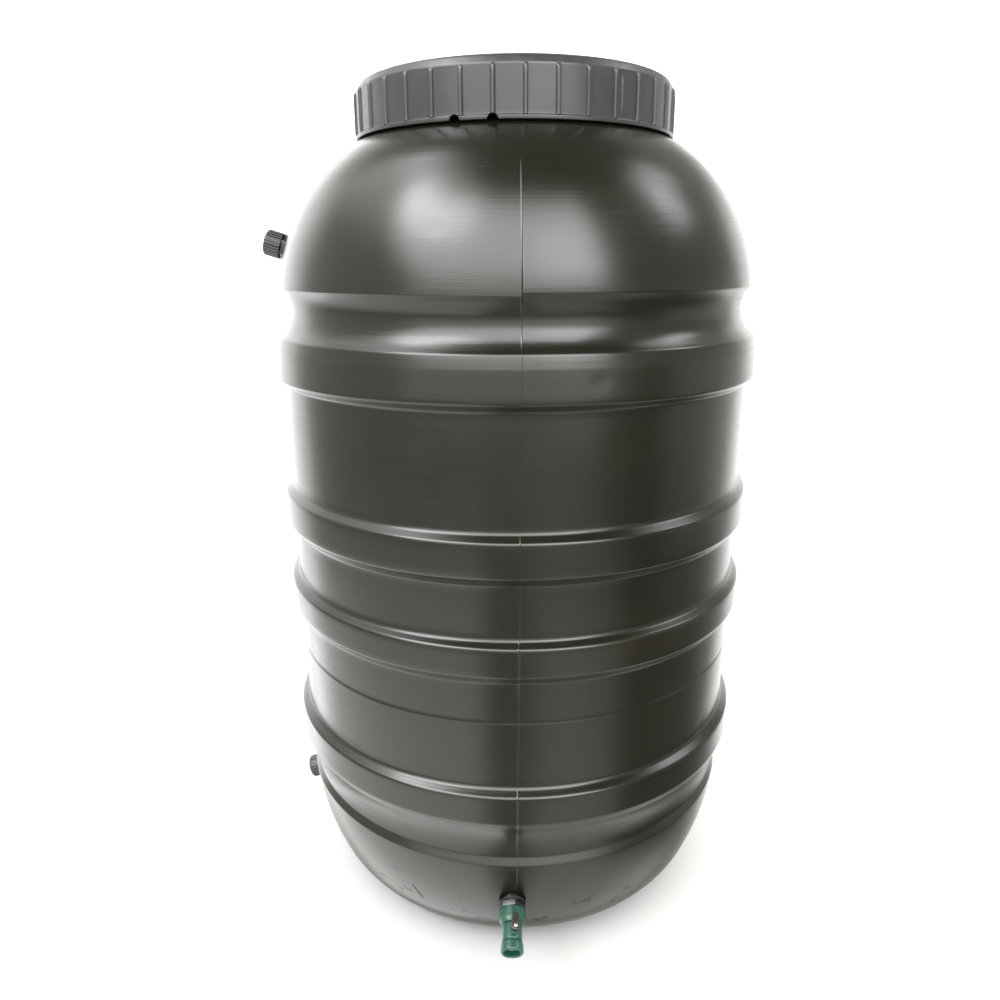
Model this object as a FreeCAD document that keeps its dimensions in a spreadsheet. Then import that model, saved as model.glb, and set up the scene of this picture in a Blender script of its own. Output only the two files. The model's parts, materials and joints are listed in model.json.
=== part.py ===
import FreeCAD, Part
import Sketcher
import math
import os

# Rain barrel of blow-moulded polyethylene: a 220 litre drum with a screw lid, three hose
# bulkhead fittings through its wall, a small ball valve on the front one and caps on the others.
# Millimetres, +Z up, origin on the barrel's axis at the underside. The valve faces -Y and the
# two capped ports face -X.

Vector = FreeCAD.Vector
Rotation = FreeCAD.Rotation
Placement = FreeCAD.Placement

# ---------------------------------------------------------------- driving dimensions
SIZES = {
    # barrel wall
    "wall_thick": 4.5,
    "belly_rad": 284.7,
    "band_rad": 295.0,
    # outline of the barrel from its foot to its neck: radius and height of each corner
    "foot_rad": 191.2,
    "heel_low_rad": 229.8, "heel_low_hgt": 14.5,
    "heel_top_rad": 260.9, "heel_top_hgt": 58.4,
    "lip_rad": 283.2, "lip_hgt": 151.2,
    "cove_low_rad": 278.6, "cove_low_hgt": 161.0,
    "cove_end_rad": 291.8, "cove_end_hgt": 208.0,
    "band4_low_hgt": 215.5, "band4_top_hgt": 249.3, "band4_end_hgt": 255.9,
    "band3_start_hgt": 383.5, "band3_low_hgt": 395.3, "band3_top_hgt": 427.8, "band3_end_hgt": 432.5,
    "band2_start_hgt": 493.4, "band2_low_hgt": 505.0, "band2_top_hgt": 542.5, "band2_end_hgt": 549.3,
    "band1_start_hgt": 671.6, "band1_low_hgt": 679.6, "band1_top_hgt": 717.5,
    "cove_top_rad": 291.6, "cove_top_hgt": 726.0,
    "crease_rad": 284.7, "crease_hgt": 781.8,
    "dome_mid_rad": 251.0, "dome_mid_hgt": 874.5,
    "dome_top_rad": 178.5, "dome_top_hgt": 944.0,
    # arc radii of that outline
    "foot_arc": 62.0, "heel_arc": 110.0, "dome_low_arc": 330.0, "cove_low_arc": 92.0,
    "low_edge_arc": 10.4, "top_edge_arc": 12.4, "cove_top_arc": 36.0, "dome_arc": 190.0, "dome_top_arc": 150.0,
    # neck and its thread
    "neck_rad": 172.0, "neck_bore": 166.0, "neck_foot_hgt": 951.0, "neck_top_hgt": 992.0,
    "neck_arc": 8.0,
    "lid_pitch": 24.0,
    "neck_crest": 175.0, "neck_turn_len": 24.0, "neck_turn_hgt": 958.0,
    "turn_slope": 0.357, "turn_half": 1.25, "turn_gap": 0.4,
    # lid disc and gasket
    "rim_gap": 0.05, "lid_gasket_thick": 3.0, "disc_rad": 174.0, "disc_thick": 4.0,
    "plug_rad": 165.2, "plug_wall": 4.0, "plug_foot_hgt": 980.0,
    "panel_top_hgt": 991.0, "panel_thick": 3.5, "panel_rib_hgt": 3.0, "panel_rib_wide": 4.0,
    "panel_hub_rad": 26.0,
    # lid ring
    "ring_foot_hgt": 943.0, "ring_lip_rad": 185.7, "ring_lip_hgt": 947.2, "ring_rad": 183.8,
    "ring_bore": 178.3, "ring_side_hgt": 993.5, "ring_taper_rad": 181.6, "ring_taper_hgt": 1000.2,
    "ring_top_rad": 177.6, "ring_top_hgt": 1002.8, "ring_top_thick": 3.45, "ring_opening": 150.0,
    "ring_top_arc": 4.6, "ring_foot_bevel": 3.6,
    "ring_rib_rad": 186.4, "ring_rib_wide": 4.8, "ring_rib_top": 992.6, "ring_rib_arc": 3.0,
    "ring_rib_count": 36, "ring_rib_angle": 0.0,
    "ring_crest": 173.0, "ring_turn_len": 20.0,
    "notch_rad": 5.8, "notch_depth": 3.2, "notch_angle": -6.1, "notch_spacing": 12.1,
    # hose bulkhead fittings: distances are measured outwards from the barrel's wall
    "pad_rad": 22.0, "pad_thick": 9.8, "port_hole": 13.4,
    "shank_rad": 13.2, "shank_len": 22.0, "port_bore": 8.0,
    "gasket_thick": 1.5, "gasket_rad": 15.9,
    "flange_rad": 15.2, "flange_thick": 0.6,
    "spigot_hex_flat": 27.0, "spigot_hex_angle": 17.0, "spigot_collar_end": 9.0,
    "port_hex_flat": 27.0, "port_collar_end": 7.5,
    "hose_root": 12.1, "hose_crest": 13.35, "hose_pitch": 2.209,
    "hose_tooth_foot": 1.5, "hose_tooth_tip": 0.35,
    "spigot_hose_end": 17.0, "spigot_tooth_start": 10.6, "spigot_tooth_len": 4.4,
    "port_hose_end": 24.0, "port_tooth_start": 12.6, "port_tooth_len": 8.8,
    "inner_washer_thick": 2.0, "inner_washer_rad": 19.0,
    "locknut_flat": 34.0, "locknut_thick": 8.0,
    # where the fittings go through the wall, and how far each leans from the horizontal
    "spigot_out": 274.4, "spigot_hgt": 93.4, "spigot_lean": 20.5,
    "upper_out": 279.0, "upper_hgt": 826.0, "upper_lean": 17.0,
    "lower_out": 273.7, "lower_hgt": 93.4, "lower_lean": 17.0,
    # hose caps
    "cap_start": 7.9, "cap_end": 29.9, "cap_rad": 15.1, "cap_rib_rad": 16.1, "cap_rib_wide": 2.0,
    "cap_rib_count": 24, "cap_bore": 13.9, "cap_crest": 12.75, "cap_end_wall": 3.0,
    "cap_tooth_start": 11.4, "cap_tooth_len": 6.6, "cap_washer_rad": 13.3, "cap_edge": 1.2,
    # ball valve: swivel nut
    "nut_start": 9.4, "nut_end": 26.0, "nut_rad": 14.6, "nut_rib_rad": 15.5, "nut_rib_wide": 3.4,
    "nut_rib_count": 12, "nut_taper_start": 22.6, "nut_taper_rad": 12.6, "nut_lip_start": 21.7,
    "nut_hole": 10.0, "nut_bore": 13.9, "nut_crest": 12.75,
    "nut_seat_rad": 12.55, "nut_seat_start": 17.3,
    "nut_tooth_start": 9.5, "nut_tooth_len": 4.4,
    # ball valve: body, outlet and inside parts
    "hose_washer_end": 19.3, "hose_washer_bore": 7.0, "hose_washer_rad": 12.2,
    "tail_flange_rad": 12.2, "tail_flange_end": 21.3, "tail_rad": 9.6, "tail_end": 26.4,
    "tube_rad": 11.6, "tube_end": 44.0, "way_rad": 5.4, "valve_turn": 12.0,
    "ball_mid": 34.5, "ball_rad": 8.0, "ball_bore": 5.0, "ball_space": 9.05,
    "seat_face_rad": 8.3, "seat_rad": 9.0, "seat_foot": 6.6, "seat_lip": 3.0,
    "outlet_spigot_end": 41.1, "outlet_taper_start": 44.6, "outlet_taper_end": 48.8,
    "flare_start": 45.6, "flare_rise": 1.4, "flare_rad": 13.0, "outlet_end": 56.4, "outlet_bore": 9.6,
    "outlet_edge": 1.2, "seam_depth": 0.4, "seam_wide": 0.8,
    "boss_rad": 6.0, "boss_top": 14.4, "stem_hole": 2.55, "gland_rad": 4.3, "gland_foot": 11.9,
    "stem_rad": 2.5, "stem_foot": 5.9, "stem_top": 16.6, "tang_wide": 2.9, "tang_top": 8.1,
    "slot_wide": 3.0, "slot_foot": 5.8,
    "oring_mid": 3.4, "oring_sect": 0.8, "oring_hgt": 13.0,
    "lever_hub_rad": 5.2, "lever_neck_rad": 4.6, "lever_hub_foot": 14.8, "lever_foot": 16.2, "lever_top": 21.4,
    "lever_reach": 10.0, "lever_tip_rad": 4.2, "lever_well_rad": 2.9, "lever_well_hgt": 20.2,
    "screw_rad": 1.2, "screw_head_rad": 2.5, "screw_head_thick": 1.9, "screw_foot": 11.0,
    "screw_slot_wide": 0.7, "screw_slot_depth": 0.8,
}

doc = FreeCAD.newDocument("rain_barrel")
sheet = doc.addObject("Spreadsheet::Sheet", "Sizes")
for row, (alias, value) in enumerate(SIZES.items(), start=1):
    sheet.set("A%d" % row, alias)
    sheet.set("B%d" % row, repr(value))
    sheet.setAlias("B%d" % row, alias)
doc.recompute()


def size(alias):
    """The number in the sheet's cell."""
    return float(sheet.get(alias))


def bound(text):
    """An expression in which every sheet alias is replaced by its full name."""
    words = []
    word = ""
    for char in text + " ":
        if char.isalnum() or char == "_":
            word += char
            continue
        words.append("Sizes." + word if word in SIZES else word)
        words.append(char)
        word = ""
    return "".join(words).strip()


def number(text):
    """The value of such an expression."""
    value = sheet.evalExpression(bound(text))
    return float(getattr(value, "Value", value))


# ---------------------------------------------------------------- helpers for the features
def new_body(name, place=None):
    body = doc.addObject("PartDesign::Body", name)
    body.Label = name
    if place is not None:
        body.Placement = place
    return body


def origin_plane(body, role):
    return [feature for feature in body.Origin.OriginFeatures if feature.Role == role][0]


def new_sketch(body, name, role="XZ_Plane", offset=None):
    sketch = body.newObject("Sketcher::SketchObject", body.Name + "_" + name)
    sketch.AttachmentSupport = [(origin_plane(body, role), "")]
    sketch.MapMode = "FlatFace"
    if offset is not None:
        sketch.AttachmentOffset = offset
    return sketch


def arc_middle(start, end, radius, side):
    """The middle of the arc between two points; side +1 has its centre on the left."""
    chord = end - start
    half = chord.Length / 2
    normal = Vector(-chord.y, chord.x, 0) / chord.Length
    centre = (start + end) / 2 + normal * math.sqrt(radius * radius - half * half) * side
    return centre - normal * radius * side


def outline(sketch, corners):
    """A closed outline. Each corner is (x, y) or (x, y, radius, side), the last two making the
    edge from it to the next corner an arc. Every size is an expression of the sheet."""
    points = [Vector(number(corner[0]), number(corner[1]), 0) for corner in corners]
    first = sketch.GeometryCount
    count = len(corners)
    ends = []
    for index, corner in enumerate(corners):
        start = points[index]
        end = points[(index + 1) % count]
        if len(corner) == 2:
            sketch.addGeometry(Part.LineSegment(start, end), False)
            ends.append((1, 2))
            continue
        middle = arc_middle(start, end, number(corner[2]), corner[3])
        sketch.addGeometry(Part.Arc(start, middle, end), False)
        ends.append((1, 2) if corner[3] > 0 else (2, 1))
    for index in range(count):
        other = (index + 1) % count
        joint = (first + index, ends[index][1], first + other, ends[other][0])
        sketch.addConstraint(Sketcher.Constraint("Coincident", *joint))
    for index, corner in enumerate(corners):
        here = (first + index, ends[index][0])
        for kind, text, value in (
            ("DistanceX", corner[0], points[index].x),
            ("DistanceY", corner[1], points[index].y),
        ):
            number_of = sketch.addConstraint(Sketcher.Constraint(kind, -1, 1, *here, value))
            if any(name in text for name in SIZES):
                sketch.setExpression("Constraints[%d]" % number_of, bound(text))
        if len(corner) == 4:
            radius = Sketcher.Constraint("Radius", first + index, number(corner[2]))
            number_of = sketch.addConstraint(radius)
            sketch.setExpression("Constraints[%d]" % number_of, bound(corner[2]))
    return sketch


def circle(sketch, x, y, radius):
    middle = Vector(number(x), number(y), 0)
    shape = Part.Circle(middle, Vector(0, 0, 1), number(radius))
    place = sketch.addGeometry(shape, False)
    for kind, text, value in (("DistanceX", x, middle.x), ("DistanceY", y, middle.y)):
        number_of = sketch.addConstraint(Sketcher.Constraint(kind, -1, 1, place, 3, value))
        if any(name in text for name in SIZES):
            sketch.setExpression("Constraints[%d]" % number_of, bound(text))
    number_of = sketch.addConstraint(Sketcher.Constraint("Radius", place, number(radius)))
    sketch.setExpression("Constraints[%d]" % number_of, bound(radius))
    return sketch


def turned(body, name, corners, cut=False):
    """A revolved feature about the body's own Z axis."""
    sketch = outline(new_sketch(body, name + "_outline"), corners)
    kind = "PartDesign::Groove" if cut else "PartDesign::Revolution"
    feature = body.newObject(kind, body.Name + "_" + name)
    feature.Profile = sketch
    feature.ReferenceAxis = (sketch, ["V_Axis"])
    feature.Angle = 360
    doc.recompute()
    return feature


def extruded(body, name, sketch, length, cut=False):
    """A pad or a pocket that reaches half its length to each side of its sketch."""
    kind = "PartDesign::Pocket" if cut else "PartDesign::Pad"
    feature = body.newObject(kind, body.Name + "_" + name)
    feature.Profile = sketch
    feature.SideType = "Symmetric"
    feature.setExpression("Length", bound(length))
    doc.recompute()
    return feature


def around(body, name, feature, count, angle="360"):
    """A polar pattern of one feature about the body's Z axis."""
    pattern = body.newObject("PartDesign::PolarPattern", body.Name + "_" + name)
    pattern.Originals = [feature]
    pattern.Axis = (origin_plane(body, "Z_Axis"), [""])
    pattern.setExpression("Angle", bound(angle))
    pattern.setExpression("Occurrences", bound(count))
    body.Tip = pattern
    doc.recompute()
    return pattern


def thread(body, name, corners, pitch, length):
    """A helical ridge of the given tooth section."""
    sketch = outline(new_sketch(body, name + "_tooth"), corners)
    feature = body.newObject("PartDesign::AdditiveHelix", body.Name + "_" + name)
    feature.Profile = sketch
    feature.ReferenceAxis = (sketch, ["V_Axis"])
    feature.Mode = "pitch-height-angle"
    feature.setExpression("Pitch", bound(pitch))
    feature.setExpression("Height", bound(length))
    doc.recompute()
    return feature


def washer(name, place, bore, radius, foot, top):
    """A flat ring between two heights."""
    body = new_body(name, place)
    turned(body, "ring", [(bore, foot), (radius, foot), (radius, top), (bore, top)])
    return body


def hexagon(sketch, flat, angle="0"):
    corners = []
    for index in range(6):
        turn = "(%d deg + %s * 1 deg)" % (60 * index, angle)
        reach = "%s / sqrt(3)" % flat
        corners.append(("%s * cos(%s)" % (reach, turn), "%s * sin(%s)" % (reach, turn)))
    return outline(sketch, corners)


# ---------------------------------------------------------------- where the ports sit
def spigot_place():
    base = Vector(0, -size("spigot_out"), size("spigot_hgt"))
    return Placement(base, Rotation(Vector(1, 0, 0), 90 + size("spigot_lean")))


def upper_place():
    base = Vector(-size("upper_out"), 0, size("upper_hgt"))
    return Placement(base, Rotation(Vector(0, 1, 0), -(90 - size("upper_lean"))))


def lower_place():
    base = Vector(-size("lower_out"), 0, size("lower_hgt"))
    return Placement(base, Rotation(Vector(0, 1, 0), -(90 + size("lower_lean"))))


PORTS = {"spigot": spigot_place(), "upper_port": upper_place(), "lower_port": lower_place()}


# ---------------------------------------------------------------- barrel
# Corner of the outside outline, the direction of the wall's outward normal there in degrees
# above the horizontal, and the arc that leads to the next corner.
SHELL = [
    ("foot_rad", "0", -90, "foot_arc", 1),
    ("heel_low_rad", "heel_low_hgt", -52, "heel_arc", 1),
    ("heel_top_rad", "heel_top_hgt", -24, "dome_low_arc", 1),
    ("lip_rad", "lip_hgt", 6, None, 0),
    ("cove_low_rad", "cove_low_hgt", 6, "cove_low_arc", -1),
    ("cove_end_rad", "cove_end_hgt", -32, "low_edge_arc", 1),
    ("band_rad", "band4_low_hgt", -8, None, 0),
    ("band_rad", "band4_top_hgt", 28, None, 0),
    ("belly_rad", "band4_end_hgt", 28, None, 0),
    ("belly_rad", "band3_start_hgt", -20, None, 0),
    ("band_rad", "band3_low_hgt", -20, None, 0),
    ("band_rad", "band3_top_hgt", 32, None, 0),
    ("belly_rad", "band3_end_hgt", 32, None, 0),
    ("belly_rad", "band2_start_hgt", -20, None, 0),
    ("band_rad", "band2_low_hgt", -20, None, 0),
    ("band_rad", "band2_top_hgt", 28, None, 0),
    ("belly_rad", "band2_end_hgt", 28, None, 0),
    ("belly_rad", "band1_start_hgt", -26, None, 0),
    ("band_rad", "band1_low_hgt", -26, None, 0),
    ("band_rad", "band1_top_hgt", 10, "top_edge_arc", 1),
    ("cove_top_rad", "cove_top_hgt", 38, "cove_top_arc", -1),
    ("crease_rad", "crease_hgt", -8, "dome_arc", 1),
    ("dome_mid_rad", "dome_mid_hgt", 34, "dome_top_arc", 1),
    ("dome_top_rad", "dome_top_hgt", 56, "neck_arc", -1),
]


def inside(corner):
    """The corner of the inside outline, one wall thickness in from the outside one."""
    radius, height, normal = corner[:3]
    inner = "%s - wall_thick * cos(%d deg)" % (radius, normal)
    return (inner, "%s - wall_thick * sin(%d deg)" % (height, normal))


def make_shell():
    body = new_body("barrel_shell")
    corners = [("0", "0")]
    for radius, height, _, arc, side in SHELL:
        corners.append((radius, height, arc, side) if arc else (radius, height))
    corners.append(("neck_rad", "neck_foot_hgt"))
    corners.append(("neck_rad", "neck_top_hgt"))
    corners.append(("neck_bore", "neck_top_hgt"))
    corners.append(("neck_bore", "neck_foot_hgt", "neck_arc + wall_thick", 1))
    for index in range(len(SHELL) - 1, 0, -1):
        arc, side = SHELL[index - 1][3:]
        if arc:
            grown = "%s %s wall_thick" % (arc, "-" if side > 0 else "+")
            corners.append(inside(SHELL[index]) + (grown, -side))
        else:
            corners.append(inside(SHELL[index]))
    corners.append(("foot_rad", "wall_thick"))
    corners.append(("0", "wall_thick"))
    turned(body, "wall", corners)
    # two-start thread on the neck, the starts half a turn apart
    for name, sign in (("start_a", ""), ("start_b", "-")):
        root = "turn_half + turn_slope * (neck_crest - neck_rad + 0.6)"
        teeth = [
            (sign + "(neck_rad - 0.6)", "neck_turn_hgt - (%s)" % root),
            (sign + "neck_crest", "neck_turn_hgt - turn_half"),
            (sign + "neck_crest", "neck_turn_hgt + turn_half"),
            (sign + "(neck_rad - 0.6)", "neck_turn_hgt + (%s)" % root),
        ]
        thread(body, name, teeth, "lid_pitch", "neck_turn_len")
    # a flat round seat in the wall at each port, and the hole through it
    for name, place in PORTS.items():
        inward = place.multiply(Placement(Vector(0, 0, -size("pad_thick") / 2), Rotation()))
        seat = circle(new_sketch(body, name + "_seat", "XY_Plane", inward), "0", "0", "pad_rad")
        extruded(body, name + "_seat_pad", seat, "pad_thick")
        hole = circle(new_sketch(body, name + "_hole", "XY_Plane", place), "0", "0", "port_hole")
        extruded(body, name + "_hole_cut", hole, "shank_len", cut=True)
    return body


# ---------------------------------------------------------------- lid
def make_lid():
    bottom = "(neck_top_hgt + rim_gap)"
    gasket_top = "(%s + lid_gasket_thick)" % bottom
    washer("lid_gasket", None, "plug_rad + 0.6", "disc_rad - 1", bottom, gasket_top)

    disc = new_body("lid_disc")
    panel_foot = "(panel_top_hgt - panel_thick)"
    disc_corners = [
        ("0", panel_foot),
        ("plug_rad - plug_wall", panel_foot),
        ("plug_rad - plug_wall", "plug_foot_hgt"),
        ("plug_rad", "plug_foot_hgt"),
        ("plug_rad", gasket_top),
        ("disc_rad", gasket_top),
        ("disc_rad", "%s + disc_thick" % gasket_top),
        ("plug_rad - plug_wall", "%s + disc_thick" % gasket_top),
        ("plug_rad - plug_wall", "panel_top_hgt"),
        ("panel_hub_rad", "panel_top_hgt"),
        ("panel_hub_rad", "panel_top_hgt + panel_rib_hgt"),
        ("0", "panel_top_hgt + panel_rib_hgt"),
    ]
    turned(disc, "panel", disc_corners)
    rib_sketch = outline(
        new_sketch(disc, "rib_side"),
        [
            ("panel_hub_rad - 2", "panel_top_hgt - 1"),
            ("plug_rad - plug_wall + 1", "panel_top_hgt - 1"),
            ("plug_rad - plug_wall + 1", "panel_top_hgt + panel_rib_hgt"),
            ("panel_hub_rad - 2", "panel_top_hgt + panel_rib_hgt"),
        ],
    )
    rib = extruded(disc, "rib", rib_sketch, "panel_rib_wide")
    around(disc, "ribs", rib, "8")

    ring = new_body("lid_ring")
    ring.Placement = Placement(Vector(), Rotation(Vector(0, 0, 1), -90))
    under = "(ring_top_hgt - ring_top_thick)"
    ring_corners = [
        ("ring_bore + ring_foot_bevel", "ring_foot_hgt"),
        ("ring_lip_rad", "ring_foot_hgt"),
        ("ring_lip_rad", "ring_lip_hgt"),
        ("ring_rad", "ring_lip_hgt + 1.2"),
        ("ring_rad", "ring_side_hgt"),
        ("ring_taper_rad", "ring_taper_hgt", "ring_top_arc", 1),
        ("ring_top_rad", "ring_top_hgt"),
        ("ring_opening", "ring_top_hgt"),
        ("ring_opening", under),
        ("disc_rad + 2", under),
        ("ring_bore", "%s - 3" % under),
        ("ring_bore", "ring_foot_hgt + ring_foot_bevel"),
    ]
    turned(ring, "wall", ring_corners)
    for name, sign in (("start_a", ""), ("start_b", "-")):
        # the flanks are parallel to the neck's, and lie just under them; the ring starts a
        # quarter turn behind the neck, so its turns start a quarter of the lead higher
        tip = "turn_half - turn_slope * 0.3"
        foot = "turn_half + turn_slope * (ring_bore - ring_crest + 0.3)"
        gap = "(2 * turn_half + turn_slope * (neck_crest - ring_crest - 0.3) + turn_gap * 1.07)"
        middle = "(neck_turn_hgt + lid_pitch / 4 - %s)" % gap
        teeth = [
            (sign + "(ring_bore + 0.6)", "%s - (%s)" % (middle, foot)),
            (sign + "(ring_bore + 0.6)", "%s + (%s)" % (middle, foot)),
            (sign + "ring_crest", "%s + (%s)" % (middle, tip)),
            (sign + "ring_crest", "%s - (%s)" % (middle, tip)),
        ]
        thread(ring, name, teeth, "lid_pitch", "ring_turn_len")
    # grip ribs round the wall
    turn = Placement(Vector(), Rotation(Vector(0, 1, 0), size("ring_rib_angle") + size("notch_angle")))
    rib_sketch = outline(
        new_sketch(ring, "rib_side", "XZ_Plane", turn),
        [
            ("ring_rad - 0.8", "ring_lip_hgt - 1"),
            ("ring_rib_rad", "ring_lip_hgt - 1"),
            ("ring_rib_rad", "ring_rib_top - ring_rib_arc", "ring_rib_arc", 1),
            ("ring_rib_rad - ring_rib_arc", "ring_rib_top"),
            ("ring_rad - 0.8", "ring_rib_top"),
        ],
    )
    rib = extruded(ring, "rib", rib_sketch, "ring_rib_wide")
    around(ring, "ribs", rib, "ring_rib_count")
    # two shallow half-round seal notches in the foot of the wall
    for index in range(2):
        angle = size("notch_angle") - index * size("notch_spacing")
        out = Vector(math.cos(math.radians(angle)), math.sin(math.radians(angle)), 0)
        spin = Rotation(Vector(0, 0, 1), angle).multiply(Rotation(Vector(0, 1, 0), 90))
        place = Placement(out * size("ring_lip_rad") + Vector(0, 0, size("ring_foot_hgt")), spin)
        notch = circle(new_sketch(ring, "notch_%d" % index, "XY_Plane", place), "0", "0", "notch_rad")
        extruded(ring, "notch_cut_%d" % index, notch, "2 * notch_depth", cut=True)


# ---------------------------------------------------------------- bulkhead fittings
def make_fitting(port, hex_flat, hex_angle, collar_end, hose_end, tooth_start, tooth_len):
    place = PORTS[port]
    body = new_body(port + "_fitting", place)
    collar_foot = "(gasket_thick + flange_thick)"
    lift = Placement(Vector(0, 0, (number(collar_foot) + number(collar_end)) / 2), Rotation())
    collar = hexagon(new_sketch(body, "collar_hex", "XY_Plane", lift), hex_flat, hex_angle)
    extruded(body, "collar", collar, "%s - %s" % (collar_end, collar_foot))
    turned(
        body,
        "shank",
        [
            ("port_bore", "-shank_len"),
            ("shank_rad", "-shank_len"),
            ("shank_rad", "gasket_thick"),
            ("flange_rad", "gasket_thick"),
            ("flange_rad", collar_foot),
            ("hose_root", collar_foot),
            ("hose_root", "%s - 0.6" % hose_end),
            ("hose_root - 0.6", hose_end),
            ("port_bore", hose_end),
        ],
    )
    turned(
        body,
        "bore",
        [("0", "-shank_len - 1"), ("port_bore", "-shank_len - 1"),
         ("port_bore", "%s + 1" % hose_end), ("0", "%s + 1" % hose_end)],
        cut=True,
    )
    middle = "(%s)" % tooth_start
    thread(
        body,
        "hose_turns",
        [
            ("hose_root - 0.3", "%s - hose_tooth_foot / 2 - 0.14" % middle),
            ("hose_crest", "%s - hose_tooth_tip / 2" % middle),
            ("hose_crest", "%s + hose_tooth_tip / 2" % middle),
            ("hose_root - 0.3", "%s + hose_tooth_foot / 2 + 0.14" % middle),
        ],
        "hose_pitch",
        tooth_len,
    )
    washer(port + "_gasket", place, "shank_rad", "gasket_rad", "0", "gasket_thick")
    inner = "(-pad_thick - inner_washer_thick)"
    washer(port + "_inner_washer", place, "shank_rad", "inner_washer_rad", inner, "-pad_thick")
    nut = new_body(port + "_locknut", place)
    nut_middle = number(inner) - size("locknut_thick") / 2
    drop = Placement(Vector(0, 0, nut_middle), Rotation())
    nut_hex = hexagon(new_sketch(nut, "hex", "XY_Plane", drop), "locknut_flat")
    circle(nut_hex, "0", "0", "shank_rad")
    extruded(nut, "block", nut_hex, "locknut_thick")


# ---------------------------------------------------------------- hose caps
def inner_tooth(bore, crest, start):
    """Section of a female hose thread whose turns run midway between the male ones."""
    foot = "(hose_tooth_foot / 2 - 0.1)"
    return [
        ("%s + 0.3" % bore, "%s - %s" % (start, foot)),
        ("%s + 0.3" % bore, "%s + %s" % (start, foot)),
        (crest, "%s + hose_tooth_tip / 2" % start),
        (crest, "%s - hose_tooth_tip / 2" % start),
    ]


def grip_ribs(body, start, end, root, rad, wide, count):
    rib_sketch = outline(
        new_sketch(body, "rib_side"),
        [
            ("%s - 0.5" % root, start),
            ("%s - 0.4" % rad, start),
            (rad, "%s + 0.6" % start),
            (rad, "%s - 1.0" % end),
            ("%s - 0.8" % rad, end),
            ("%s - 0.5" % root, end),
        ],
    )
    rib = extruded(body, "rib", rib_sketch, wide)
    around(body, "ribs", rib, count)


def make_cap(port):
    place = PORTS[port]
    seat = "(cap_end - cap_end_wall)"
    cap = new_body(port + "_cap", place)
    turned(
        cap,
        "cup",
        [
            ("cap_bore", "cap_start"),
            ("cap_rad", "cap_start"),
            ("cap_rad", "cap_end - cap_edge", "cap_edge", 1),
            ("cap_rad - cap_edge", "cap_end"),
            ("0", "cap_end"),
            ("0", seat),
            ("cap_bore", seat),
        ],
    )
    start = "(port_tooth_start - hose_pitch / 2)"
    thread(cap, "hose_turns", inner_tooth("cap_bore", "cap_crest", start), "hose_pitch", "cap_tooth_len")
    grip_ribs(cap, "cap_start", "cap_end - 0.4", "cap_rad", "cap_rib_rad", "cap_rib_wide", "cap_rib_count")
    body = new_body(port + "_cap_washer", place)
    foot = "port_hose_end + rim_gap"
    top = "%s - rim_gap" % seat
    turned(body, "disc", [("0", foot), ("cap_washer_rad", foot), ("cap_washer_rad", top), ("0", top)])


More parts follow.
